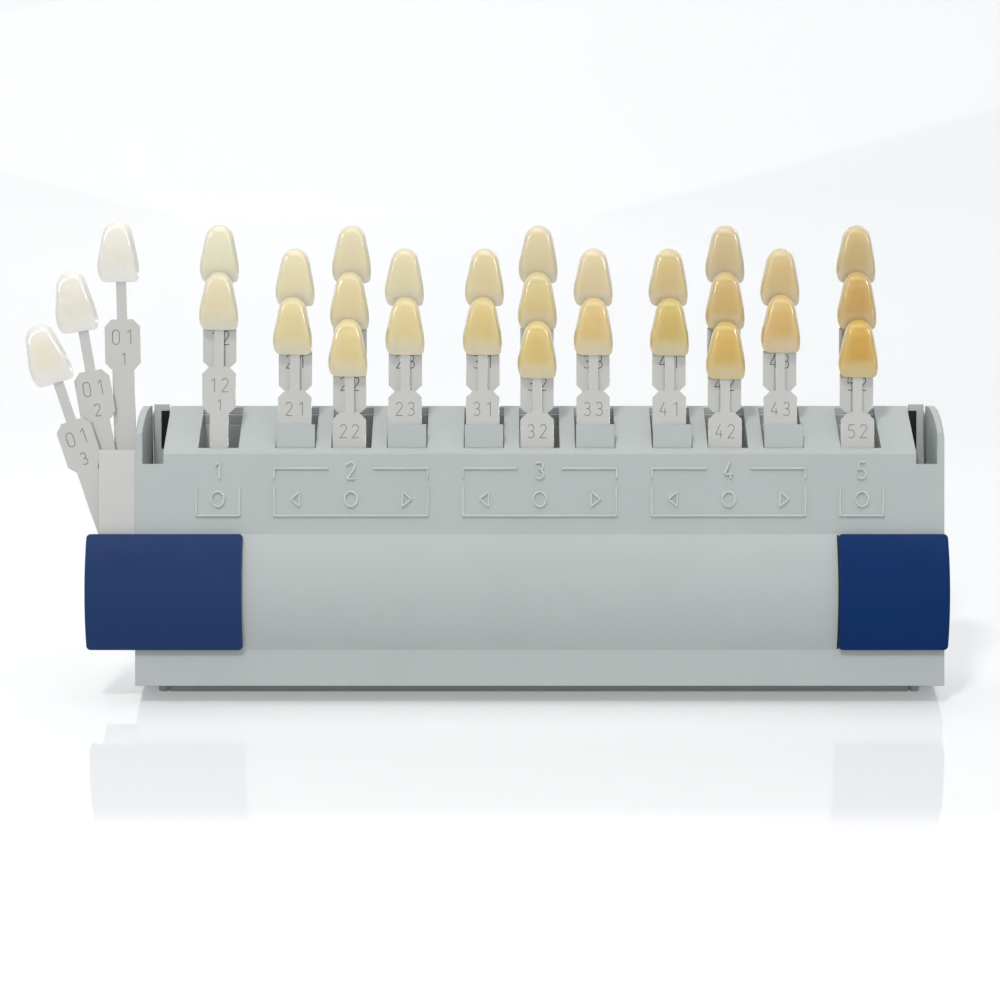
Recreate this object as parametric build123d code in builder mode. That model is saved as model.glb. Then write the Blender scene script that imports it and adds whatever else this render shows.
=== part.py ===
"""Desk-top dental shade guide: sample teeth on steel strips, held in a slotted grey stand.

Millimetres. X runs along the stand, +Y towards its back, +Z up. The origin is on the table,
in the middle of the base plate. Distances back are measured from the panel's bottom edge.
Most sizes are given in the leaning front panel's own directions: x along the stand,
u up the panel from its bottom edge, w into the stand, square to the panel.
"""
from build123d import *
from math import cos, sin, radians
import os

# Stand
lean = 12.0
foot_gap = 4.7
body_length = 195.0
panel_height = 56.4
top_depth = 17.6
top_rise = 11.6
rim_chamfer = 0.5
wall = 1.5
band_low = 8.7
band_high = 36.6
band_bulge = 4.0
base_height = 0.8
lip_back = 16.9
floor_thickness = 2.4
end_wall = 1.7
cheek_rise = 4.6
cheek_crown_rise = 8.9
cheek_crown_back = 6.0
cheek_swell = 0.55
cheek_round = 0.8

# End channels beside the slotted top
channel_width = 5.1
channel_drop = 2.9
channel_floor = 1.5

# Rear cover
cover_wall = 1.6
cover_gap = 0.75
ear_rise = 0.35
ear_inset = 0.4
ear_width = 3.65
ear_bar = 1.75
window_above_rim = 1.0
window_below_top = 1.6
window_depth = 1.0

# Base plate
base_front = 12.0
base_thickness = 1.9
base_length = 186.6
base_back_gap = 1.2
base_corner = 1.5
base_notch = 0.8
base_notch_inset = 2.6
fit_gap = 0.1

# Slots and wells
slot_width = 9.7
slot_depth = 15.4
well_floor = 20.0
well_wall = 1.2
side_offset = 13.45
end_to_group = 19.9
group_step = 32.1
group_sides = [False, True, True, True, False]
tab_counts = [2, 3, 3, 3, 3]

# Carriers
carrier_width = 9.3
carrier_gap = 0.2
carrier_front = 1.2
carrier_bridge = 5.0
tall_front = 63.1
low_front = 55.0
carrier_recess = 14.0

# Tabs
strip_thickness = 0.6
strip_first = 0.8
strip_spacing = 2.0
pivot_height = 29.8
rivet_radius = 1.2
spacer_radius = 2.0
stem_width = 4.5
plate_width = 8.1
plate_length = 11.6
plate_chamfer = 1.7
neck_width = 2.3
neck_length = 9.3
tongue_length = 8.0
tooth_height = 13.9
tooth_width = 9.4
tooth_bulge = 3.9
tab_step = 11.15
lowest_plate_top = 36.2
side_plate_top = 41.6

# How far each slot's strips stand from its middle, and each tooth's own small offset (along, up)
strip_shifts = {"1_mid": 0.0, "2_mid": -0.55, "2_left": -0.3, "2_right": -0.5, "3_mid": -0.6, "3_left": -0.3,
                "3_right": -0.45, "4_mid": -0.6, "4_left": -0.65, "4_right": -0.65, "5_mid": -0.65}
tooth_shifts = {"1_mid_1": (0.0, -0.5), "2_mid_1": (-0.3, -0.65), "2_mid_2": (0.0, -0.3), "2_mid_3": (0.4, 0.0),
                "2_left_1": (-0.5, -0.75), "2_right_1": (0.0, -0.8), "2_right_2": (-0.2, 0.0),
                "3_mid_1": (0.0, -1.1), "3_mid_2": (0.1, -0.3), "3_mid_3": (0.3, 0.0),
                "3_left_1": (-0.1, -0.8), "3_left_2": (0.4, 0.0), "3_right_1": (0.0, -0.9),
                "4_mid_1": (0.1, -1.3), "4_mid_2": (0.1, -0.3), "4_mid_3": (0.2, 0.0),
                "4_left_1": (0.0, -1.0), "4_left_2": (-0.2, 0.0), "4_right_1": (0.0, -0.25),
                "5_mid_1": (0.1, -0.85), "5_mid_2": (0.0, -0.3),
                "fan_1": (-0.5, -0.8), "fan_2": (-0.9, -0.1), "fan_3": (-0.6, -0.1)}

# Fan of the three palest tabs at the left end
fan_size = 1.065
fan_pivot_out = 2.44
fan_pivot_u = 24.2
fan_tilts = [1.5, 9.9, 18.6]
fan_stem_width = 5.0
fan_plate_tops = [64.6, 52.7, 41.9]
fan_first = 3.1
fan_spacing = 2.6
fan_foot_radius = 2.1
fan_taper_length = 20.0
pin_radius = 1.0
pin_clearance = 0.05
collar_radius = 1.9
collar_gap = 0.1
holder_width = 8.7
holder_height = 56.9
holder_front = 1.6
holder_back = 1.6
holder_back_height = 42.0
holder_bridge = 9.0
holder_tongue = 3.5
tongue_low = 11.0
tongue_high = 15.0
tongue_front = 3.0
tongue_back = 9.0

# Caps
cap_wall = 1.6
cap_corner = 1.0
left_cap_out = 11.5
left_cap_in = 26.0
left_cap_end = 1.5
left_cap_return = 1.2
right_cap_out = 0.6
right_cap_in = 25.6
right_cap_return = 10.0

tilt_cos = cos(radians(lean))
tilt_sin = sin(radians(lean))
into = Vector(0, tilt_cos, -tilt_sin)
up = Vector(0, tilt_sin, tilt_cos)
back_y = top_depth * tilt_cos + (panel_height + top_rise) * tilt_sin
base_deep = back_y - base_back_gap - base_front
base_middle = base_front + base_deep / 2
panel_foot = Vector(0, -base_middle, foot_gap)


def spot(x, u, w):
    """Row position of a point given in the panel's directions."""
    return panel_foot + Vector(x, 0, 0) + up * u + into * w


def facing(x=0.0, u=0.0, w=0.0):
    """Plane parallel to the panel, its sketch read from the front as (x, u)."""
    return Plane(origin=spot(x, u, w), x_dir=(1, 0, 0), z_dir=-into)


def side(x=0.0):
    """Plane across the stand, its sketch read as (w, u)."""
    return Plane(origin=spot(x, 0, 0), x_dir=into, z_dir=(1, 0, 0))


def level(y, z):
    """The (w, u) of a point given by its distance back and its height above the table."""
    return (y * tilt_cos - (z - foot_gap) * tilt_sin, y * tilt_sin + (z - foot_gap) * tilt_cos)


def slope(w, below=0.0):
    """A point of the sloping top, or one that lies below it."""
    return (w, panel_height + top_rise / top_depth * w - below)


def slope_at(y, below):
    """The point of the lowered slope that lies y back from the panel's bottom edge."""
    rise = top_rise / top_depth
    w = (y - (panel_height - below) * tilt_sin) / (tilt_cos + rise * tilt_sin)
    return slope(w, below)


half = body_length / 2
outer_group = half - end_to_group
group_centres = [-outer_group, group_step - outer_group, 0.0, outer_group - group_step, outer_group]
fan_pivot_x = -half - fan_pivot_out
inner_end = half - end_wall
block_end = inner_end - channel_width
band_middle = (band_low + band_high) / 2
top_back = slope(top_depth)
past = 2.0
slot_front = wall
slot_back = wall + slot_depth

slots = []
for group, centre in enumerate(group_centres):
    number = group + 1
    plate_top = lowest_plate_top + (max(tab_counts) - tab_counts[group]) * tab_step
    slots.append((f"{number}_mid", centre, tab_counts[group], plate_top, low_front))
    if group_sides[group]:
        slots.append((f"{number}_left", centre - side_offset, 2, side_plate_top, tall_front))
        slots.append((f"{number}_right", centre + side_offset, 2, side_plate_top, tall_front))

os.makedirs("parts", exist_ok=True)


def save(piece, name):
    piece.part.label = name
    export_step(piece.part, f"parts/{name}.step")


channel_level = panel_height - channel_drop
back_clear = back_y - cover_wall
back_low = level(back_clear, spot(0, channel_level, top_depth).Z)
back_clear_low = level(back_y, spot(0, channel_level, top_depth).Z)[0]
floor_low = channel_level - 2 * channel_floor


def cheek_at(sign):
    """Rounded cheek on top of an end wall: its arched side profile crossed with its plan, which swells backwards."""
    low = channel_level - channel_floor
    x0 = -half if sign < 0 else inner_end - cheek_swell
    with BuildPart() as cheek:
        with BuildSketch(side(x0)):
            with BuildLine():
                ThreePointArc((0, panel_height + cheek_rise), (cheek_crown_back, panel_height + cheek_crown_rise),
                              top_back)
                Polyline(top_back, (back_clear_low, low), (0, low), (0, panel_height + cheek_rise))
            make_face()
        extrude(amount=end_wall + cheek_swell)
        with BuildSketch(Plane(origin=spot(0, low, 0), x_dir=(1, 0, 0), z_dir=up)):
            Polygon((sign * half, 0), (sign * half, 2 * top_depth), (sign * (inner_end - cheek_swell), 2 * top_depth),
                    (sign * (inner_end - cheek_swell), top_depth - cover_wall), (sign * inner_end, 0), align=None)
        extrude(amount=2 * panel_height, mode=Mode.INTERSECT)
        rim = cheek.edges().filter_by(GeomType.CIRCLE).sort_by(Axis.X)[0 if sign < 0 else -1]
        fillet(rim, cheek_round)
    return cheek.part


# Holder body: one moulding with the front panel, the slotted top, the wells and the end walls
with BuildPart() as holder_body:
    with BuildSketch(side(-half)):
        with BuildLine():
            Polyline((0, band_high), (0, panel_height - rim_chamfer), slope(rim_chamfer), top_back,
                     level(back_y, base_height),
                     level(lip_back, base_height), (0, 0), (0, band_low))
            ThreePointArc((0, band_low), (-band_bulge, band_middle), (0, band_high))
        make_face()
    extrude(amount=body_length)
    with BuildSketch(side(-inner_end)):
        with BuildLine():
            Polyline((wall, band_high), slope(wall, wall), slope(top_depth + past, wall),
                     level(back_y + past, base_height - past), level(lip_back, base_height - past),
                     level(lip_back, base_height + floor_thickness), (wall, floor_thickness + wall),
                     (wall, band_low))
            ThreePointArc((wall, band_low), (wall - band_bulge, band_middle), (wall, band_high))
        make_face()
    extrude(amount=2 * inner_end, mode=Mode.SUBTRACT)

    # Side wall and floor of each end channel
    for x0, x1 in ((-block_end, wall - block_end), (block_end - wall, block_end)):
        with BuildSketch(side(x0)):
            Polygon((wall / 2, floor_low), slope(wall / 2, wall / 2),
                    slope_at(back_clear, wall / 2), (back_low[0], floor_low), align=None)
        extrude(amount=x1 - x0)
    for x0 in (-inner_end - end_wall / 2, block_end - wall):
        with BuildSketch(side(x0)):
            Polygon((wall / 2, floor_low), (wall / 2, floor_low + channel_floor),
                    (back_low[0], floor_low + channel_floor), (back_low[0], floor_low), align=None)
        extrude(amount=channel_width + wall + end_wall / 2)

    # Well under each slot
    for name, x, count, plate_top, front in slots:
        with BuildSketch(side(x - slot_width / 2 - well_wall)):
            Polygon((wall / 2, well_floor - well_wall), slope(wall / 2, wall / 2),
                    slope(slot_back + well_wall, wall / 2),
                    (slot_back + well_wall, well_floor - well_wall), align=None)
        extrude(amount=slot_width + 2 * well_wall)
    with BuildSketch(side(-block_end)):
        Polygon(slope_at(back_clear, wall), slope_at(back_y + past, wall),
                level(back_y + past, base_height), level(back_clear, base_height), align=None)
    extrude(amount=2 * block_end, mode=Mode.SUBTRACT)
    for name, x, count, plate_top, front in slots:
        with BuildSketch(side(x - slot_width / 2)):
            Polygon((slot_front, well_floor), (slot_front, top_back[1] + past),
                    (slot_back, top_back[1] + past), (slot_back, well_floor), align=None)
        extrude(amount=slot_width, mode=Mode.SUBTRACT)

    # Open end channels, rounded cheeks, base plate recess and the slot for the fan holder's tongue
    for x0 in (-inner_end, block_end):
        with BuildSketch(side(x0)):
            Polygon((-past, channel_level), (-past, top_back[1] + past),
                    (top_depth + past, top_back[1] + past),
                    (back_low[0] + past, floor_low + channel_floor),
                    (wall, floor_low + channel_floor), (wall, channel_level), align=None)
        extrude(amount=channel_width, mode=Mode.SUBTRACT)
    for sign in (-1, 1):
        add(cheek_at(sign))
    with BuildSketch(Plane.XY):
        Rectangle(base_length + 2 * fit_gap, base_deep + 2 * fit_gap)
    extrude(amount=base_thickness, mode=Mode.SUBTRACT)
    with BuildSketch(side(-half)):
        Polygon((tongue_front - fit_gap, tongue_low - fit_gap),
                (tongue_back + fit_gap, tongue_low - fit_gap),
                (tongue_back + fit_gap, tongue_high + fit_gap),
                (tongue_front - fit_gap, tongue_high + fit_gap), align=None)
    extrude(amount=end_wall, mode=Mode.SUBTRACT)
save(holder_body, "holder_body")

# Rear cover: closes the back and the bottom, with a windowed ear in each end channel
cover_half = inner_end - cover_gap
ear_top = top_back[1] + ear_rise
with BuildPart() as rear_cover:
    with BuildSketch(side(-cover_half)):
        Polygon(level(lip_back, base_height), level(back_y, base_height), slope_at(back_y, wall),
                slope_at(back_clear, wall), level(back_clear, base_height + floor_thickness),
                level(lip_back, base_height + floor_thickness), align=None)
    extrude(amount=2 * cover_half)
    for x0 in (-cover_half + ear_inset, cover_half - ear_inset - ear_width):
        with BuildSketch(side(x0)):
            Polygon((top_depth - cover_wall, floor_low + 2 * channel_floor),
                    (top_depth - cover_wall, ear_top), (top_depth, ear_top),
                    level(back_y, spot(0, floor_low, top_depth).Z), align=None)
        extrude(amount=ear_width)
    for x0 in (-cover_half + ear_inset + ear_bar, cover_half - ear_inset - ear_width):
        window_low = panel_height + window_above_rim
        with BuildSketch(facing(x0, window_low, top_depth - cover_wall + window_depth)):
            Rectangle(ear_width - ear_bar, ear_top - window_below_top - window_low,
                      align=(Align.MIN, Align.MIN))
        extrude(amount=2 * window_depth, mode=Mode.SUBTRACT)
    with BuildSketch(Plane.XY):
        Rectangle(base_length + 2 * fit_gap, base_deep + 2 * fit_gap)
    extrude(amount=base_thickness, mode=Mode.SUBTRACT)
save(rear_cover, "rear_cover")

# Base plate: the strip that stands on the table, notched near each end
with BuildPart() as base_plate:
    with BuildSketch(Plane.XY):
        RectangleRounded(base_length, base_deep, base_corner)
        for sign in (-1, 1):
            with Locations((sign * (base_length / 2 - base_notch_inset), -base_deep / 2)):
                Rectangle(base_notch, 2 * base_notch, mode=Mode.SUBTRACT)
    extrude(amount=base_thickness)
save(base_plate, "base_plate")


def tab_planes(x, u, w, tilt):
    """The tab's front plane (across, along) and side plane (w, along), both from its pivot."""
    across = Vector(cos(radians(tilt)), 0, 0) + up * sin(radians(tilt))
    origin = spot(x, u, w)
    return Plane(origin=origin, x_dir=across, z_dir=-into), Plane(origin=origin, x_dir=into, z_dir=across)


def strip_sketch(plane, plate_top, size, stem_width, foot_radius, taper_length):
    """Outline of one stamped strip: foot, stem, label plate, neck and the tongue behind the tooth."""
    stem = size * stem_width / 2
    plate = size * plate_width / 2
    neck = size * neck_width / 2
    bottom = plate_top - size * plate_length
    chamfer = size * plate_chamfer
    end = plate_top + size * (neck_length + tongue_length)
    half_outline = [(foot_radius, 0), (stem, taper_length), (stem, bottom), (plate, bottom + chamfer),
                    (plate, plate_top - chamfer), (stem, plate_top), (neck, plate_top), (neck, end)]
    with BuildSketch(plane) as outline:
        Polygon(*half_outline, *[(-a, r) for a, r in reversed(half_outline)], align=None)
        Circle(foot_radius)
    return outline.sketch


def make_tooth(x, u, w, tilt, plate_top, size, shift, name):
    """One ceramic tooth: its front outline crossed with its side profile, flat at the back."""
    front, cross = tab_planes(x, u, w, tilt)
    along, raised = shift
    edge = plate_top + size * neck_length + raised
    face = size * tooth_width / 2
    tall = size * tooth_height
    bulge = size * tooth_bulge
    back = -strip_thickness / 2
    with BuildPart() as tooth:
        with BuildSketch(front):
            with BuildLine():
                Spline((along - 0.72 * face, edge), (along - face, edge + 0.22 * tall),
                       (along - 0.85 * face, edge + 0.6 * tall), (along - 0.6 * face, edge + 0.88 * tall),
                       (along, edge + tall), (along + 0.56 * face, edge + 0.88 * tall),
                       (along + 0.82 * face, edge + 0.6 * tall), (along + face, edge + 0.22 * tall),
                       (along + 0.88 * face, edge))
                Line((along + 0.88 * face, edge), (along - 0.72 * face, edge))
            make_face()
        extrude(amount=bulge + strip_thickness)
        with BuildSketch(cross):
            with BuildLine():
                Spline((back - 0.24 * bulge, edge), (back - 0.42 * bulge, edge + 0.22 * tall),
                       (back - bulge, edge + 0.66 * tall), (back - 0.3 * bulge, edge + tall))
                Polyline((back - 0.3 * bulge, edge + tall), (back, edge + tall),
                         (back, edge), (back - 0.24 * bulge, edge))
            make_face()
        extrude(amount=tooth_width, both=True, mode=Mode.INTERSECT)
    save(tooth, name)


# Carriers, riveted strip packs and teeth of the groups in the slots
front_face = wall + carrier_gap
zone_front = front_face + carrier_front
well_back = slot_back - carrier_gap
for name, x, count, plate_top, front_height in slots:
    zone_back = zone_front + 2 * strip_first + (count - 1) * strip_spacing
    strips_x = x + strip_shifts[name]
    with BuildPart() as carrier:
        with BuildSketch(side(x - carrier_width / 2)):
            Polygon((front_face, well_floor), (well_back, well_floor), slope(well_back, carrier_recess),
                    slope(zone_back, carrier_recess), (zone_back, well_floor + carrier_bridge),
                    (zone_front, well_floor + carrier_bridge), (zone_front, front_height),
                    (front_face, front_height), align=None)
        extrude(amount=carrier_width)
        with BuildSketch(facing(strips_x, pivot_height, front_face)):
            Circle(rivet_radius)
        extrude(amount=-(zone_back + carrier_front - front_face), mode=Mode.SUBTRACT)
    save(carrier, f"carrier_{name}")

    with BuildPart() as pack:
        for tab in range(count):
            w = zone_front + strip_first + tab * strip_spacing
            plane = tab_planes(strips_x, pivot_height, w + strip_thickness / 2, 0)[0]
            outline = strip_sketch(plane, plate_top + tab * tab_step, 1.0, stem_width, stem_width / 2, stem_width)
            extrude(outline, amount=strip_thickness)
        with BuildSketch(facing(strips_x, pivot_height, front_face)):
            Circle(rivet_radius)
        extrude(amount=-(zone_back + carrier_front - front_face))
        with BuildSketch(facing(strips_x, pivot_height, zone_front)):
            Circle(spacer_radius)
        extrude(amount=-(zone_back - zone_front))
    save(pack, f"strips_{name}")

    for tab in range(count):
        w = zone_front + strip_first + tab * strip_spacing
        shift = tooth_shifts.get(f"{name}_{tab + 1}", (0.0, 0.0))
        make_tooth(strips_x, pivot_height, w, 0, plate_top + tab * tab_step, 1.0, shift, f"tooth_{name}_{tab + 1}")

# Fan holder: a fork open at both sides, with its pin, its spacer collars and a tongue
holder_left = -half - holder_width
fan_back = fan_first + 2 * fan_spacing + fan_first - holder_front
with BuildPart() as fan_holder:
    with BuildSketch(side(holder_left)):
        with BuildLine():
            ThreePointArc((0, band_low), (-band_bulge, band_middle), (0, band_high))
            Polyline((0, band_high), (0, holder_height), (holder_front, holder_height),
                     (holder_front, band_low + holder_bridge), (fan_back, band_low + holder_bridge),
                     (fan_back, holder_back_height), (fan_back + holder_back, holder_back_height),
                     (fan_back + holder_back, band_low), (0, band_low))
        make_face()
    extrude(amount=holder_width)
    with BuildSketch(facing(fan_pivot_x, fan_pivot_u, 0)):
        Circle(pin_radius)
    extrude(amount=-(fan_back + holder_back))
    collar_edges = [holder_front]
    for tab in range(3):
        centre = fan_first + tab * fan_spacing
        collar_edges += [centre - strip_thickness / 2 - collar_gap, centre + strip_thickness / 2 + collar_gap]
    collar_edges.append(fan_back)
    for start, end in zip(collar_edges[0::2], collar_edges[1::2]):
        with BuildSketch(facing(fan_pivot_x, fan_pivot_u, start)):
            Circle(collar_radius)
        extrude(amount=-(end - start))
    with BuildSketch(side(-half)):
        Polygon((tongue_front, tongue_low), (tongue_back, tongue_low), (tongue_back, tongue_high),
                (tongue_front, tongue_high), align=None)
    extrude(amount=holder_tongue)
save(fan_holder, "fan_holder")

# The fan's three strips and teeth: the longest tab at the back, the shortest at the front
for tab in range(3):
    w = fan_first + (2 - tab) * fan_spacing
    with BuildPart() as fan_strip:
        plane = tab_planes(fan_pivot_x, fan_pivot_u, w + strip_thickness / 2, fan_tilts[tab])[0]
        outline = strip_sketch(plane, fan_plate_tops[tab], fan_size, fan_stem_width, fan_foot_radius,
                               fan_taper_length)
        extrude(outline, amount=strip_thickness)
        with BuildSketch(plane):
            Circle(pin_radius + pin_clearance)
        extrude(amount=strip_thickness, mode=Mode.SUBTRACT)
    save(fan_strip, f"fan_strip_{tab + 1}")
    make_tooth(fan_pivot_x, fan_pivot_u, w, fan_tilts[tab], fan_plate_tops[tab], fan_size,
               tooth_shifts[f"fan_{tab + 1}"], f"fan_tooth_{tab + 1}")


def cap_shell(x0, x1):
    """Curved shell that lies on the band, from one x to another."""
    with BuildSketch(side(x0)) as section:
        with BuildLine():
            ThreePointArc((-cap_wall, band_low), (-cap_wall - band_bulge, band_middle),
                          (-cap_wall, band_high))
            Line((-cap_wall, band_high), (0, band_high))
            ThreePointArc((0, band_high), (-band_bulge, band_middle), (0, band_low))
            Line((0, band_low), (-cap_wall, band_low))
        make_face()
    extrude(section.sketch, amount=x1 - x0)


def cap_end(x0, x1, deep):
    """Flat end wall of a cap, reaching back past the panel."""
    with BuildSketch(side(x0)) as section:
        with BuildLine():
            ThreePointArc((-cap_wall, band_low), (-cap_wall - band_bulge, band_middle),
                          (-cap_wall, band_high))
            Polyline((-cap_wall, band_high), (deep, band_high), (deep, band_low), (-cap_wall, band_low))
        make_face()
    extrude(section.sketch, amount=x1 - x0)


def round_cap(x0, x1, deep):
    """Rounds the cap's four corners as seen from the front."""
    with BuildSketch(facing((x0 + x1) / 2, band_middle, deep)) as outline:
        RectangleRounded(x1 - x0, band_high - band_low, cap_corner)
    extrude(outline.sketch, amount=deep + band_bulge + cap_wall, mode=Mode.INTERSECT)


with BuildPart() as left_cap:
    cap_shell(-half - left_cap_out, -half + left_cap_in)
    cap_end(-half - left_cap_out, -half - left_cap_out + left_cap_end, left_cap_return)
    round_cap(-half - left_cap_out, -half + left_cap_in, left_cap_return)
save(left_cap, "left_cap")

with BuildPart() as right_cap:
    cap_shell(half - right_cap_in, half + right_cap_out)
    cap_end(half, half + right_cap_out, right_cap_return)
    round_cap(half - right_cap_in, half + right_cap_out, right_cap_return)
save(right_cap, "right_cap")
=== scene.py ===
import math

import bpy
from mathutils import Matrix, Vector


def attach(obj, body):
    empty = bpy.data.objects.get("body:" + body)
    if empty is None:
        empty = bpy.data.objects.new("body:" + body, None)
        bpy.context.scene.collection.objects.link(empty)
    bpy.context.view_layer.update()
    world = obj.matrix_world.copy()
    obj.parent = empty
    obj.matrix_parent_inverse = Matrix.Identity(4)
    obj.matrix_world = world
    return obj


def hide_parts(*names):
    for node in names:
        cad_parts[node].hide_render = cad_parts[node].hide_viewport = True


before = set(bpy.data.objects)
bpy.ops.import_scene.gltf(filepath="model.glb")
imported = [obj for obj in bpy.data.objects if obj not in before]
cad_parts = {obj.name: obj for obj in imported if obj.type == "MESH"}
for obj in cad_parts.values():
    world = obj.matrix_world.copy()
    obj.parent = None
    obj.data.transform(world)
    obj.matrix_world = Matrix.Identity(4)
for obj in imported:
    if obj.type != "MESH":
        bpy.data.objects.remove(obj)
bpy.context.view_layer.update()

# Camera: a product shot from straight in front of the leaning panel, square to it,
# with a long lens three quarters of a metre away. Sizes are in mm in the panel's own directions.
lean = math.radians(12)
foot = Vector((0, -0.021077, 0.0047))
up = Vector((0, math.sin(lean), math.cos(lean)))
into = Vector((0, math.cos(lean), -math.sin(lean)))


def spot(x, u, w):
    """A point in metres from the panel's own directions in mm: along, up and into it."""
    return foot + Vector((x, 0, 0)) / 1000 + up * u / 1000 + into * w / 1000


lens = bpy.data.cameras.new("product_shot")
lens.lens = 112.05
lens.sensor_width = 36
lens.clip_start = 0.01
camera = bpy.data.objects.new("product_shot", lens)
bpy.context.collection.objects.link(camera)
camera.location = spot(-9.58, 44.8, -750)
camera.rotation_euler = (math.pi / 2 - lean, 0, 0)
bpy.context.scene.camera = camera

# Stand: holder body, rear cover, base plate and the slots' carriers are one pale grey,
# injection moulded and finely spark eroded, so the surface is satin with a very fine grain.


def paint(text):
    """Linear colour from a hex one."""
    parts = [int(text[i:i + 2], 16) / 255 for i in (1, 3, 5)]
    return [c / 12.92 if c <= 0.04045 else ((c + 0.055) / 1.055) ** 2.4 for c in parts] + [1]


def material(name):
    """A new material, its node tree and its shader."""
    made = bpy.data.materials.new(name)
    made.use_nodes = True
    tree = made.node_tree
    return made, tree, tree.nodes["Principled BSDF"]


def add(tree, kind, inputs=(), **settings):
    """One node; inputs are (socket's name or number, value or the output that feeds it)."""
    made = tree.nodes.new("ShaderNode" + kind)
    for key, value in settings.items():
        setattr(made, key, value)
    for key, value in inputs:
        if isinstance(value, bpy.types.NodeSocket):
            tree.links.new(value, made.inputs[key])
        else:
            made.inputs[key].default_value = value
    return made


def moulded(name, light, dark, rough):
    """Injection moulded plastic: cloudy tone, spark-eroded grain and softly broken edges."""
    # Real pores are about 0.05 mm; they are drawn at 0.22 mm, as fine as the render can show.
    pore_size, pore_depth, broken_edge = 0.00022, 0.000012, 0.0003
    made, tree, shader = material(name)
    place = add(tree, "TexCoord").outputs["Object"]
    cloud = add(tree, "TexNoise", [("Vector", place), ("Scale", 38), ("Detail", 3)])
    tone = add(tree, "Mix", [(0, cloud.outputs[0]), (6, paint(dark)), (7, paint(light))],
               data_type="RGBA")
    tree.links.new(tone.outputs[2], shader.inputs["Base Color"])
    pores = add(tree, "TexNoise", [("Vector", place), ("Scale", 1 / pore_size), ("Detail", 2)])
    gloss = add(tree, "MapRange", [(0, pores.outputs[0]), (3, rough - 0.05), (4, rough + 0.06)])
    tree.links.new(gloss.outputs[0], shader.inputs["Roughness"])
    edge = add(tree, "Bevel", [("Radius", broken_edge)], samples=4)
    bump = add(tree, "Bump", [("Strength", 0.5), ("Distance", pore_depth), ("Height", pores.outputs[0]),
                              ("Normal", edge.outputs[0])])
    tree.links.new(bump.outputs[0], shader.inputs["Normal"])
    shader.inputs["IOR"].default_value = 1.53
    return made


def dress(names, made):
    """Gives CAD pieces a material."""
    for name in names:
        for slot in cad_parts[name].material_slots:
            slot.material = made


grey_abs = moulded("Grey ABS, spark-eroded satin moulding", "#BCC2C1", "#B4BBBA", 0.46)
slots = ["1_mid", "2_mid", "2_left", "2_right", "3_mid", "3_left", "3_right", "4_mid", "4_left",
         "4_right", "5_mid"]
dress(["holder_body", "rear_cover", "base_plate"] + ["carrier_" + s for s in slots], grey_abs)

# Windows of the rear cover's ears: a matt black pad in the recess of each ear is painted shade,
# a dark sheet where the window only lies in shade, so that it reads as a dark opening beside the slotted
# top.
painted_shade_pad, tree, shader = material("Painted shade pad in the ear windows, matt black")
shader.inputs["Base Color"].default_value = paint("#141618")
specks = add(tree, "TexNoise", [("Vector", add(tree, "TexCoord").outputs["Object"]), ("Scale", 4000)])
bump = add(tree, "Bump", [("Strength", 0.4), ("Distance", 0.00002), ("Height", specks.outputs[0])])
tree.links.new(bump.outputs[0], shader.inputs["Normal"])
shader.inputs["Roughness"].default_value = 0.8


def piece(name, vertices, faces, made, body="stand", smooth=False):
    """A mesh piece of the object that rides on a CAD body."""
    mesh = bpy.data.meshes.new(name)
    mesh.from_pydata([tuple(v) for v in vertices], [], faces)
    mesh.materials.append(made)
    if smooth:
        mesh.shade_smooth()
    thing = bpy.data.objects.new(name, mesh)
    bpy.context.collection.objects.link(thing)
    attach(thing, body)
    return thing


box_faces = [(0, 1, 2, 3), (7, 6, 5, 4), (0, 4, 5, 1), (1, 5, 6, 2), (2, 6, 7, 3), (3, 7, 4, 0)]
# The pads are painted shade: flat black boxes that fill each ear's window.
pad_foot, pad_top, pad_front, pad_back = 57.42, 66.73, 16.25, 16.98
for side, x0, x1 in (("left", -92.88, -91.02), ("right", 91.02, 92.88)):
    corners = [(x0, pad_foot), (x1, pad_foot), (x1, pad_top), (x0, pad_top)]
    pad = piece(f"window_shade_pad_{side}", [spot(x, u, w) for w in (pad_front, pad_back) for x, u in corners],
                box_faces, painted_shade_pad)

# Marks: numbers, arrowheads and circles. On the panel they are raised strokes of the moulding
# itself, on the strips thin laser-marked lines. Both are swept along one plain stroke alphabet.


def arc(cx, cy, rx, ry, start, end, steps=10):
    """Points of an oval arc between two angles in degrees."""
    turn = [math.radians(start + (end - start) * i / steps) for i in range(steps + 1)]
    return [(cx + rx * math.cos(a), cy + ry * math.sin(a)) for a in turn]


marks = {
    "0": [arc(0.28, 0.72, 0.24, 0.28, 0, 180) + arc(0.28, 0.28, 0.24, 0.28, 180, 360) + [(0.52, 0.72)]],
    "1": [[(0.1, 0.8), (0.34, 1.0)], [(0.34, 1.02), (0.34, 0.0)]],
    "2": [arc(0.28, 0.74, 0.24, 0.26, 165, -30) + [(0.04, 0.0)], [(0.02, 0.0), (0.54, 0.0)]],
    "3": [arc(0.26, 0.75, 0.22, 0.25, 150, -80) + [(0.2, 0.52)],
          [(0.2, 0.52)] + arc(0.25, 0.26, 0.26, 0.26, 85, -145)],
    "4": [[(0.36, 1.0), (0.02, 0.3)], [(0.0, 0.28), (0.56, 0.28)], [(0.4, 0.55), (0.4, 0.0)]],
    "5": [[(0.5, 1.0), (0.12, 1.0)], [(0.12, 1.02), (0.08, 0.54)],
          [(0.08, 0.54)] + arc(0.26, 0.3, 0.26, 0.3, 125, -140)],
    "left": [[(0.6, 0.98), (0.02, 0.5)], [(0.02, 0.5), (0.6, 0.02)], [(0.6, 0.0), (0.6, 1.0)]],
    "right": [[(0.0, 0.98), (0.58, 0.5)], [(0.58, 0.5), (0.0, 0.02)], [(0.0, 0.0), (0.0, 1.0)]],
    "middle": [arc(0.3, 0.5, 0.4, 0.46, 0, 360, 24)],
}


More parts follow.
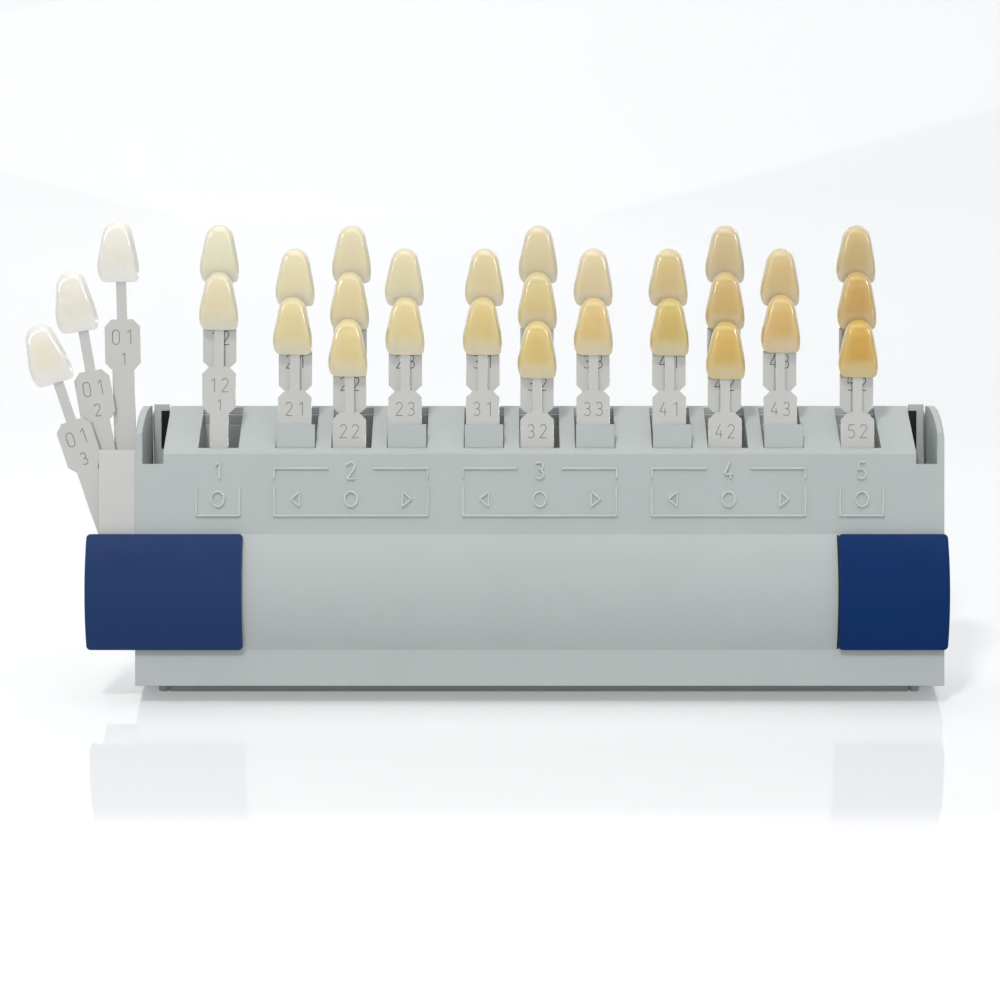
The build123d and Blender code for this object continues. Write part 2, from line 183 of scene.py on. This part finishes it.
def placed(mark, x, y, tall):
    """The strokes of one mark, centred at x, y and that tall."""
    across = [p[0] for line in marks[mark] for p in line]
    middle = (min(across) + max(across)) / 2
    return [[(x + (px - middle) * tall, y + (py - 0.5) * tall) for px, py in line]
            for line in marks[mark]]


def stroke_nodes():
    """Geometry Nodes group that gives every line a flat oval section."""
    tree = bpy.data.node_groups.new("Strokes", "GeometryNodeTree")
    for name, way, kind in (("Lines", "INPUT", "Geometry"), ("Width", "INPUT", "Float"),
                            ("Height", "INPUT", "Float"), ("Material", "INPUT", "Material"),
                            ("Strokes", "OUTPUT", "Geometry")):
        tree.interface.new_socket(name, in_out=way, socket_type="NodeSocket" + kind)

    def make(kind, **settings):
        made = tree.nodes.new(kind)
        for key, value in settings.items():
            setattr(made, key, value)
        return made

    link = tree.links.new
    given, result = make("NodeGroupInput"), make("NodeGroupOutput")
    curve, upright = make("GeometryNodeMeshToCurve"), make("GeometryNodeSetCurveNormal", mode="Z_UP")
    circle = make("GeometryNodeCurvePrimitiveCircle")
    circle.inputs["Resolution"].default_value = 8
    circle.inputs["Radius"].default_value = 1
    size = make("ShaderNodeCombineXYZ")
    half = make("ShaderNodeMath", operation="MULTIPLY")
    half.inputs[1].default_value = 0.5
    level = make("GeometryNodeTransform")
    level.inputs["Rotation"].default_value = (0, 0, math.pi / 8)
    oval, sweep = make("GeometryNodeTransform"), make("GeometryNodeCurveToMesh")
    real, coat = make("GeometryNodeRealizeInstances"), make("GeometryNodeSetMaterial")
    link(given.outputs["Width"], half.inputs[0])
    link(half.outputs[0], size.inputs[0])
    link(given.outputs["Height"], size.inputs[1])
    size.inputs[2].default_value = 1
    link(size.outputs[0], oval.inputs["Scale"])
    link(circle.outputs["Curve"], level.inputs["Geometry"])
    link(level.outputs["Geometry"], oval.inputs["Geometry"])
    link(given.outputs["Lines"], curve.inputs["Mesh"])
    link(curve.outputs["Curve"], upright.inputs["Curve"])
    link(upright.outputs["Curve"], sweep.inputs["Curve"])
    link(oval.outputs["Geometry"], sweep.inputs["Profile Curve"])
    sweep.inputs["Fill Caps"].default_value = True
    link(sweep.outputs["Mesh"], real.inputs["Geometry"])
    link(real.outputs["Geometry"], coat.inputs["Geometry"])
    link(given.outputs["Material"], coat.inputs["Material"])
    link(coat.outputs["Geometry"], result.inputs["Strokes"])
    return tree


strokes = stroke_nodes()


def stroke_piece(name, lines, plane, width, height, made, body="stand"):
    """Lines in mm in a plane (a 4x4 matrix), swept into strokes and baked to a plain mesh."""
    points, edges = [], []
    for line in lines:
        edges += [(len(points) + i, len(points) + i + 1) for i in range(len(line) - 1)]
        points += [(x / 1000, y / 1000, 0) for x, y in line]
    mesh = bpy.data.meshes.new(name)
    mesh.from_pydata(points, edges, [])
    thing = bpy.data.objects.new(name, mesh)
    bpy.context.collection.objects.link(thing)
    sweep = thing.modifiers.new("Strokes", "NODES")
    sweep.node_group = strokes
    sizes = {"Width": width / 1000, "Height": height / 1000, "Material": made}
    for item in strokes.interface.items_tree:
        if item.name in sizes:
            sweep[item.identifier] = sizes[item.name]
    swept = thing.evaluated_get(bpy.context.evaluated_depsgraph_get())
    baked = bpy.data.meshes.new_from_object(swept)
    thing.modifiers.clear()
    baked.transform(plane)
    thing.data = baked
    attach(thing, body)
    return thing


def plane_at(x, u, w, tilt=0.0):
    """Matrix of a plane parallel to the panel: its x runs along the stand, its y up the panel."""
    across = Vector((math.cos(tilt), 0, 0)) + up * math.sin(tilt)
    along = up * math.cos(tilt) - Vector((math.sin(tilt), 0, 0))
    return Matrix.LocRotScale(spot(x, u, w), Matrix((across, along, -into)).transposed(), None)


# The panel's raised strokes are the same grey moulding in a lighter tone: a painted highlight for light
# caught on their rounded tops.
abs_marks_painted_highlight = moulded("Grey ABS raised marks, lighter tone as painted highlight", "#CDD3D1", "#C6CCCA", 0.36)
group_centres = [-77.6, -45.5, 0.0, 45.5, 77.6]
side_offset = 13.45
frame_foot, frame_top, frame_corner, mark_line, number_line = 41.0, 52.4, 0.2, 45.0, 51.9
mark_width, mark_height = 0.56, 0.7
for number, centre in enumerate(group_centres, 1):
    wide = number in (2, 3, 4)
    half, upright_top = (18.5, 48.2) if wide else (5.2, 48.0)
    lines = placed(str(number), centre, number_line, 4.0)
    for sign in (-1, 1):
        x = centre + sign * half
        if wide:
            lines += [[(centre + sign * 5.3, frame_top), (x + sign * frame_corner, frame_top)],
                      [(x, frame_top), (x, 50.0)]]
        lines += [[(x, upright_top), (x, frame_foot)]]
    lines += [[(centre - half - frame_corner, frame_foot), (centre + half + frame_corner, frame_foot)]]
    if wide:
        lines += placed("left", centre - side_offset, mark_line, 3.7)
        lines += placed("right", centre + side_offset, mark_line, 3.7)
    lines += placed("middle", centre, mark_line, 3.9)
    stroke_piece(f"panel_marks_{number}", lines, plane_at(0, 0, 0), mark_width, mark_height,
                 abs_marks_painted_highlight)

# Strips: tabs stamped from stainless spring steel, tumbled and brushed along their length,
# so they are bright with a faint lengthwise grain. Their numbers are laser marked. The brush
# lines are drawn 0.11 mm apart, several times coarser than real ones, so that they show.
steel, tree, shader = material("Stainless spring steel, finely brushed lengthwise")
place = add(tree, "TexCoord").outputs["Object"]
stretch = add(tree, "Mapping", [("Vector", place), ("Scale", (9000, 500, 300))])
grain = add(tree, "TexNoise", [("Vector", stretch.outputs[0]), ("Scale", 1), ("Detail", 3)])
cloud = add(tree, "TexNoise", [("Vector", place), ("Scale", 90), ("Detail", 2)])
tone = add(tree, "Mix", [(0, cloud.outputs[0]), (6, paint("#C3C4C0")), (7, paint("#CBCBC7"))],
           data_type="RGBA")
tree.links.new(tone.outputs[2], shader.inputs["Base Color"])
shader.inputs["Metallic"].default_value = 0.38
gloss = add(tree, "MapRange", [(0, grain.outputs[0]), (3, 0.07), (4, 0.16)])
tree.links.new(gloss.outputs[0], shader.inputs["Roughness"])
edge = add(tree, "Bevel", [("Radius", 0.00012)], samples=4)
bump = add(tree, "Bump", [("Strength", 0.25), ("Distance", 0.000004), ("Height", grain.outputs[0]),
                          ("Normal", edge.outputs[0])])
tree.links.new(bump.outputs[0], shader.inputs["Normal"])
dress(["strips_" + s for s in slots] + [f"fan_strip_{n}" for n in (1, 2, 3)], steel)


def laser_mark(name, colour):
    """Oxide left in the steel by the marking laser: matt and slightly uneven."""
    made, tree, shader = material(name)
    shader.inputs["Base Color"].default_value = paint(colour)
    wear = add(tree, "TexNoise", [("Vector", add(tree, "TexCoord").outputs["Object"]), ("Scale", 1500)])
    gloss = add(tree, "MapRange", [(0, wear.outputs[0]), (3, 0.5), (4, 0.8)])
    tree.links.new(gloss.outputs[0], shader.inputs["Roughness"])
    shader.inputs["Metallic"].default_value = 0.4
    return made


light_ink = laser_mark("Laser marking, light oxide in steel", "#78766F")
ink = laser_mark("Laser marking, dark oxide in steel", "#4C4A46")
pivot_u, lowest_top, tab_step = 29.8, 36.2, 11.15
side_lowest_top = 41.6
front_strip, strip_spacing, half_strip = 3.7, 2.0, 0.3
ink_width, ink_height = 0.22, 0.02
strip_shifts = {"1_mid": 0.0, "2_mid": -0.55, "2_left": -0.3, "2_right": -0.5, "3_mid": -0.6,
                "3_left": -0.3, "3_right": -0.45, "4_mid": -0.6, "4_left": -0.65, "4_right": -0.65,
                "5_mid": -0.65}
sides = {"left": (1, -side_offset), "mid": (2, 0), "right": (3, side_offset)}
for name in slots:
    group, place = int(name[0]), name[2:]
    lowest = lowest_top if place == "mid" else side_lowest_top
    count = 3 if place == "mid" else 2
    if name == "1_mid":
        lowest, count = lowest_top + tab_step, 2
    digit, offset = sides[place]
    centre = group_centres[group - 1] + offset + strip_shifts[name]
    for tab in range(count):
        top = pivot_u + lowest + tab_step * tab
        row = -4.15 if tab else -4.55
        lines = placed(str(group), -1.45, row, 3.2) + placed(str(digit), 1.45, row, 3.2)
        if tab or name == "1_mid":
            lines += placed(str(tab + 1), 0.0, -9.4, 2.7)
        face = plane_at(centre, top, front_strip - half_strip + strip_spacing * tab)
        stroke_piece(f"strip_marks_{name}_{tab + 1}", lines, face, ink_width, ink_height,
                     ink if tab else light_ink)

# Fan: three tabs of the palest teeth on strips of their own, pinned in a pale grey, slightly
# translucent fork beside the stand's left end, where they swing out sideways.
pale = moulded("Pale grey translucent polypropylene, satin moulding", "#D3D4D1", "#C9CBC9", 0.38)
pale_shader = pale.node_tree.nodes["Principled BSDF"]
pale_shader.inputs["Subsurface Weight"].default_value = 0.25
pale_shader.inputs["Subsurface Radius"].default_value = (0.002, 0.002, 0.002)
pale_shader.inputs["Subsurface Scale"].default_value = 1
dress(["fan_holder"], pale)

fan_pivot = (-99.94, 24.2)
fan_tilts = [math.radians(t) for t in (1.5, 9.9, 18.6)]
fan_tops = [64.6, 52.7, 41.9]
fan_front, fan_spacing = 3.1, 2.6
for tab, (tilt, top) in enumerate(zip(fan_tilts, fan_tops)):
    w = fan_front + (2 - tab) * fan_spacing - half_strip
    plane = plane_at(*fan_pivot, w, tilt) @ Matrix.Translation((0, top / 1000, 0))
    lines = placed("0", -1.6, -4.3, 3.5) + placed("1", 1.6, -4.3, 3.5)
    lines += placed(str(tab + 1), 0.1, -9.6, 2.9)
    stroke_piece(f"fan_marks_{tab + 1}", lines, plane, 0.24, ink_height, light_ink,
                 f"fan_tab_{tab + 1}")

# Caps: deep blue satin ABS mouldings, curved like the band that they clip over at both ends of
# the stand. The right one is a little deeper and duller in tone than the left one.
left_blue = moulded("Deep blue ABS, satin moulding", "#12366A", "#0F2F62", 0.4)
right_blue = moulded("Deep blue ABS, satin moulding, right batch", "#01326C", "#012A60", 0.4)
for name, made, specular in (("left_cap", left_blue, 0.2), ("right_cap", right_blue, 0.1)):
    made.node_tree.nodes["Principled BSDF"].inputs["Specular IOR Level"].default_value = specular
    dress([name], made)

# Shadow gap: a painted shadow, a thin dark strip 0.5 mm wide laid where the shade of the gap between
# the right cap's edge and the band falls. It lies a hair in front of the band's arc, from its lower end to
# its upper end.
shadow_gap, tree, shader = material("Painted shadow beside the clipped cap")
shader.inputs["Base Color"].default_value = paint("#0D1626")
shader.inputs["Roughness"].default_value = 0.7
band_foot, band_top, band_bulge, gap_inset, steps = 8.7, 36.6, 4, 0.2, 24
half_chord, band_middle = (band_top - band_foot) / 2, (band_foot + band_top) / 2
radius = (half_chord ** 2 + band_bulge ** 2) / (2 * band_bulge)
edge_line = []
for k in range(steps + 1):
    u = band_foot + gap_inset + (band_top - band_foot - 2 * gap_inset) * k / steps
    w = -(math.sqrt(radius ** 2 - (u - band_middle) ** 2) - radius + band_bulge) - 0.04
    edge_line += [spot(71.5, u, w), spot(72.0, u, w)]
gap = piece("right_cap_shadow_gap", edge_line,
            [(2 * k, 2 * k + 1, 2 * k + 3, 2 * k + 2) for k in range(steps)], shadow_gap)

# Teeth: layered dental porcelain, fired and glazed, each bonded on its strip's tongue. The body
# is the shade's own colour, deepest in the middle of the face, under a paler, clearer enamel
# that shows along the biting edge and the sides. The root's collar is a little lower than the face.
tooth_half, tooth_tall, tooth_heart = 4.7, 13.9, 0.52
outline = [(-0.72, 0.012), (-0.88, 0.06), (-0.98, 0.16), (-1.0, 0.27), (-0.96, 0.39), (-0.87, 0.52),
           (-0.79, 0.64), (-0.72, 0.75), (-0.63, 0.85), (-0.48, 0.93), (-0.27, 0.98), (0.0, 1.0),
           (0.28, 0.985), (0.5, 0.935), (0.66, 0.86), (0.75, 0.76), (0.82, 0.64), (0.89, 0.51),
           (0.96, 0.37), (1.0, 0.23), (0.985, 0.11), (0.93, 0.035), (0.8, 0.004), (0.5, -0.002),
           (0.0, 0.0), (-0.45, 0.002)]


def smooth_ring(points, count):
    """The outline as that many evenly placed points on a closed smooth curve."""
    many = []
    for i in range(len(points)):
        a, b, c, d = (Vector(points[(i + k) % len(points)]) for k in (-1, 0, 1, 2))
        for step in range(12):
            t = step / 12
            many.append(0.5 * ((2 * b) + (c - a) * t + (2 * a - 5 * b + 4 * c - d) * t * t +
                               (3 * b - a - 3 * c + d) * t ** 3))
    lengths = [0]
    for i in range(len(many)):
        step = many[(i + 1) % len(many)] - many[i]
        lengths.append(lengths[-1] + math.hypot(step.x * tooth_half, step.y * tooth_tall))
    ring, k = [], 0
    for i in range(count):
        want = lengths[-1] * i / count
        while lengths[k + 1] < want:
            k += 1
        t = (want - lengths[k]) / (lengths[k + 1] - lengths[k])
        ring.append(many[k].lerp(many[(k + 1) % len(many)], t))
    return ring


def ease(low, high, value):
    """0 to 1 without a kink as the value goes from low to high."""
    t = min(1, max(0, (value - low) / (high - low)))
    return t * t * (3 - 2 * t)


def through(pairs, value):
    """Smooth curve through (place, number) pairs."""
    k = max(i for i in range(len(pairs) - 1) if i == 0 or value >= pairs[i][0])
    before, after = pairs[max(0, k - 1)], pairs[min(len(pairs) - 1, k + 2)]
    (a, p), (b, q) = pairs[k], pairs[k + 1]
    run = b - a
    rise_in = (q - before[1]) / (b - before[0]) * run
    rise_out = (after[1] - p) / (after[0] - a) * run
    t = (value - a) / run
    return ((2 * t ** 3 - 3 * t ** 2 + 1) * p + (t ** 3 - 2 * t ** 2 + t) * rise_in +
            (3 * t ** 2 - 2 * t ** 3) * q + (t ** 3 - t ** 2) * rise_out)


ring = smooth_ring(outline, 84)
shells = [0.0, 0.14, 0.28, 0.42, 0.54, 0.63, 0.69, 0.735, 0.77, 0.8, 0.825, 0.85, 0.875, 0.9, 0.925,
          0.95, 0.97, 0.985, 0.996, 1.0]
face_profile = [(0.0, 0.27), (0.12, 0.35), (0.26, 0.5), (0.45, 0.79), (0.62, 0.96), (0.76, 1.0),
                (0.88, 0.94), (1.0, 0.72)]
back_rings = ((1.004, 0.12), (0.997, 0.06), (0.985, 0.015), (0.96, 0.0), (0.0, 0.0))


def crown(x, shell, t):
    """How far the face stands in front of the tooth's back, as a share of its thickness."""
    side = abs(x)
    biting_edge = ease(0.22, 0.04, t)
    roll = 0.1 * ease(0.68, 0.92, shell) + 0.5 * ease(0.84, 1.06, shell)
    drop = 0.07 * shell ** 2 + roll * (1 - 0.55 * biting_edge)
    flank = ease(0.35, 0.8, side) * ease(0.02, 0.22, t) * ease(0.98, 0.8, t)
    ridge = 0.03 * math.exp(-((shell - 0.76) / 0.09) ** 2) * flank
    valley = -0.03 * math.exp(-((side * shell - 0.33) / 0.12) ** 2) * ease(0.7, 0.25, t)
    collar = -0.035 * math.exp(-((shell - 0.85) / 0.03) ** 2) * ease(0.5, 0.72, t)
    depth = through(face_profile, t) * (1 - drop) + ridge + valley + collar
    rim = 0.13 + 0.1 * t
    return max(rim, depth) if shell < 0.99 else max(rim * 0.9, depth * 0.97)


def tooth(name, made_of, node, tilt, body):
    """A tooth set on its CAD node: the outline's rings rise to the crowned face."""
    turn = Matrix((Vector((math.cos(tilt), 0, 0)) + up * math.sin(tilt),
                   up * math.cos(tilt) - Vector((math.sin(tilt), 0, 0)), into))
    back = turn.transposed()
    corners = [turn @ v.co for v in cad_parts[node].data.vertices]
    low = [min(c[i] for c in corners) for i in range(3)]
    high = [max(c[i] for c in corners) for i in range(3)]
    wide, tall, deep = (high[0] - low[0]) / 2, high[1] - low[1], high[2] - low[2]
    cx, cy = (high[0] + low[0]) / 2, low[1]
    points, rims, heights = [], [], []
    for shell, behind in [(shell, None) for shell in shells] + list(back_rings):
        for p in ring if shell else ring[:1]:
            t = tooth_heart + (p.y - tooth_heart) * shell
            depth = crown(p.x, shell, t) if behind is None else behind
            points.append((cx + p.x * min(shell, 1) * wide, cy + t * tall, high[2] - depth * deep))
            rims.append(shell if behind is None else 1.0)
            heights.append(t)
    count = len(ring)
    faces = [(0, 1 + (i + 1) % count, 1 + i) for i in range(count)]
    rows = (len(points) - 2) // count
    for row in range(rows - 1):
        base = 1 + row * count
        for i in range(count):
            j = (i + 1) % count
            faces.append((base + i, base + j, base + count + j, base + count + i))
    last = len(points) - 1
    faces += [(last, last - count + i, last - count + (i + 1) % count) for i in range(count)]
    made = piece(name, [back @ Vector(p) for p in points], faces, made_of, body, smooth=True)
    for label, values in (("rim", rims), ("height", heights)):
        made.data.attributes.new(label, "FLOAT", "POINT").data.foreach_set("value", values)
    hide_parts(node)
    return made


def toward(tone, other, share):
    """A hex colour moved a share of the way to another one."""
    pairs = [(int(tone[i:i + 2], 16), int(other[i:i + 2], 16)) for i in (1, 3, 5)]
    return "#%02X%02X%02X" % tuple(int(c + (e - c) * share) for c, e in pairs)


def porcelain(name, body, deep, enamel):
    """Layered porcelain: shade body, a deeper middle, pale clear enamel at edge and sides, glaze."""
    made, tree, shader = material(name)
    rim = add(tree, "Attribute", attribute_name="rim").outputs["Fac"]
    height = add(tree, "Attribute", attribute_name="height").outputs["Fac"]
    place = add(tree, "TexCoord").outputs["Object"]
    cloud = add(tree, "TexNoise", [("Vector", place), ("Scale", 420), ("Detail", 3)])
    soft = {"interpolation_type": "SMOOTHSTEP"}
    middle = add(tree, "MapRange", [(0, rim), (1, 0.92), (2, 0.3), (3, 0.0), (4, 1.0)], **soft)
    neck = add(tree, "MapRange", [(0, height), (1, 0.97), (2, 0.6), (3, 0.35), (4, 1.0)], **soft)
    heart = add(tree, "Math", [(0, middle.outputs[0]), (1, neck.outputs[0])], operation="MULTIPLY")
    core = add(tree, "Mix", [(0, heart.outputs[0]), (6, paint(body)), (7, paint(deep))],
               data_type="RGBA")
    ragged = add(tree, "Math", [(0, cloud.outputs[0]), (1, 0.09), (2, height)], operation="MULTIPLY_ADD")
    edge = add(tree, "MapRange", [(0, ragged.outputs[0]), (1, 0.42), (2, 0.1), (3, 0.0), (4, 1.0)], **soft)
    flanks = add(tree, "MapRange", [(0, rim), (1, 0.8), (2, 1.0), (3, 0.0), (4, 0.5)], **soft)
    clear = add(tree, "Math", [(0, edge.outputs[0]), (1, flanks.outputs[0])], operation="MAXIMUM")
    tone = add(tree, "Mix", [(0, clear.outputs[0]), (6, core.outputs[2]), (7, paint(enamel))],
               data_type="RGBA")
    tree.links.new(tone.outputs[2], shader.inputs["Base Color"])
    shader.inputs["Roughness"].default_value = 0.2
    shader.inputs["IOR"].default_value = 1.52
    shader.inputs["Subsurface Weight"].default_value = 0.35
    shader.inputs["Subsurface Radius"].default_value = (1.0, 0.85, 0.7)
    shader.inputs["Subsurface Scale"].default_value = 0.0012
    shader.inputs["Coat Weight"].default_value = 0.7
    shader.inputs["Coat Roughness"].default_value = 0.07
    waves = add(tree, "TexNoise", [("Vector", place), ("Scale", 700), ("Detail", 1)])
    bump = add(tree, "Bump", [("Strength", 0.2), ("Distance", 0.00006), ("Height", waves.outputs[0])])
    tree.links.new(bump.outputs[0], shader.inputs["Normal"])
    return made


shades = {
    "1_mid": ["#EDE0BA", "#EFEACB"],
    "2_left": ["#EAD89C", "#EEE2B9"],
    "2_mid": ["#EAD696", "#EAD8A4", "#EADFB7"],
    "2_right": ["#EAD697", "#EADDB4"],
    "3_left": ["#E4CB82", "#E7D5A3"],
    "3_mid": ["#E3C573", "#E3CC8A", "#E3D3A7"],
    "3_right": ["#E6C67C", "#E6D2A5"],
    "4_left": ["#D7B85D", "#DDC383"],
    "4_mid": ["#DCB450", "#D6B365", "#D6BF8D"],
    "4_right": ["#DFB767", "#DBBE80"],
    "5_mid": ["#D7A630", "#D0A349", "#CFB374"],
}
for name, tones in shades.items():
    for tab, tone in enumerate(tones):
        body, enamel = toward(tone, "#F0EACE", 0.3), toward(tone, "#D0D0CE", 0.55)
        coat = porcelain(f"Layered porcelain, glazed, group {name} shade {tab + 1}", body, tone, enamel)
        made = tooth(f"porcelain_tooth_{name}_{tab + 1}", coat, f"tooth_{name}_{tab + 1}", 0.0, "stand")
for tab, tone in enumerate(("#F6F1E4", "#F5F0E0", "#F6EEDA")):
    coat = porcelain(f"Layered porcelain, glazed, palest shade {tab + 1}", "#F4F1E9", tone, "#F1EEE8")
    made = tooth(f"porcelain_fan_tooth_{tab + 1}", coat, f"fan_tooth_{tab + 1}", fan_tilts[tab],
                 f"fan_tab_{tab + 1}")

# Set: a glossy white laminate table that turns up into a white wall. What the camera and the
# mirrored rays see of it is lifted towards white, and it adds no plain light to the object. The
# key isn't mirrored in the glaze, and the two narrow side lamps are only seen mirrored in it.
set_white, tree, shader = material("White glossy laminate table")
shader.inputs["Base Color"].default_value = paint("#DADCDD")
shader.inputs["Roughness"].default_value = 0.04
shader.inputs["IOR"].default_value = 1.38
seen = add(tree, "LightPath")
shown = add(tree, "Math", [(0, seen.outputs["Is Camera Ray"]), (1, seen.outputs["Is Glossy Ray"])],
            operation="ADD", use_clamp=True)
along = add(tree, "SeparateXYZ", [(0, add(tree, "TexCoord").outputs["Object"])])
soft = {"interpolation_type": "SMOOTHSTEP"}
# This lift is painted light and uneven: a little stronger to the left, much stronger towards the table's
# front edge and slightly stronger up the wall.
lit = add(tree, "MapRange", [(0, along.outputs[0]), (1, -0.15), (2, 0.2), (3, 0.285), (4, 0.25)], **soft)
front = add(tree, "MapRange", [(0, along.outputs[1]), (1, -0.1), (2, -0.13), (3, 0.0), (4, 0.25)], **soft)
wall = add(tree, "MapRange", [(0, along.outputs[1]), (1, 0.2), (2, 0.45), (3, 0.0), (4, 0.04)], **soft)
ends = add(tree, "Math", [(0, front.outputs[0]), (1, wall.outputs[0])], operation="ADD")
glow = add(tree, "Math", [(0, lit.outputs[0]), (1, ends.outputs[0])], operation="ADD")
lift = add(tree, "Math", [(0, shown.outputs[0]), (1, glow.outputs[0])], operation="MULTIPLY")
shader.inputs["Emission Color"].default_value = paint("#FDFDFE")
tree.links.new(lift.outputs[0], shader.inputs["Emission Strength"])
table_front, table_back, bend, wall_top = -1.2, 0.24, 0.3, 1.6
turns = [math.radians(10 * k) for k in range(10)]
sweep_line = [(table_front, 0.0)]
sweep_line += [(table_back + bend * math.sin(a), bend - bend * math.cos(a)) for a in turns]
sweep_line += [(table_back + bend, wall_top)]
mesh = bpy.data.meshes.new("table")
mesh.from_pydata([(x, y, z) for y, z in sweep_line for x in (-1.5, 1.5)], [],
                 [(2 * i, 2 * i + 1, 2 * i + 3, 2 * i + 2) for i in range(len(sweep_line) - 1)])
mesh.materials.append(set_white)
mesh.shade_smooth()
table = bpy.data.objects.new("table", mesh)
bpy.context.collection.objects.link(table)


def softbox(name, place, target, size, power, colour="#FFFFFF", mirrored=True, lighting=True):
    """A rectangular lamp that faces the target; it can be kept out of mirrored or of plain light."""
    data = bpy.data.lights.new(name, "AREA")
    data.shape = "RECTANGLE"
    data.size, data.size_y = size
    data.energy = power
    data.color = paint(colour)[:3]
    lamp = bpy.data.objects.new(name, data)
    lamp.location = place
    lamp.rotation_euler = (Vector(target) - Vector(place)).to_track_quat("-Z", "Y").to_euler()
    lamp.visible_glossy = mirrored
    lamp.visible_diffuse = lighting
    bpy.context.collection.objects.link(lamp)


softbox("key", (-0.28, -0.9, 1.25), (0, 0.0, 0.05), (0.16, 0.16), 8.2, "#FFFDF9", False)
softbox("overhead", (0.05, 0.05, 1.1), (0, 0.0, 0.05), (1.1, 0.7), 3.5)
softbox("front", (0, -1.5, 0.45), (0, 0, 0.06), (1.8, 0.9), 3.4)
softbox("left_front", (-0.85, -0.5, 0.65), (0, 0, 0.06), (0.2, 1.1), 18, "#FFFDFA", True, False)
softbox("right_front", (0.9, -0.5, 0.65), (0, 0, 0.06), (0.2, 1.1), 18, "#FAFCFF", True, False)
world = bpy.data.worlds.new("studio")
bpy.context.scene.world = world
world.use_nodes = True
sky = world.node_tree.nodes["Background"]
sky.inputs["Color"].default_value = paint("#F6F8FB")
sky.inputs["Strength"].default_value = 0.4
bpy.context.scene.view_settings.view_transform = "Standard"
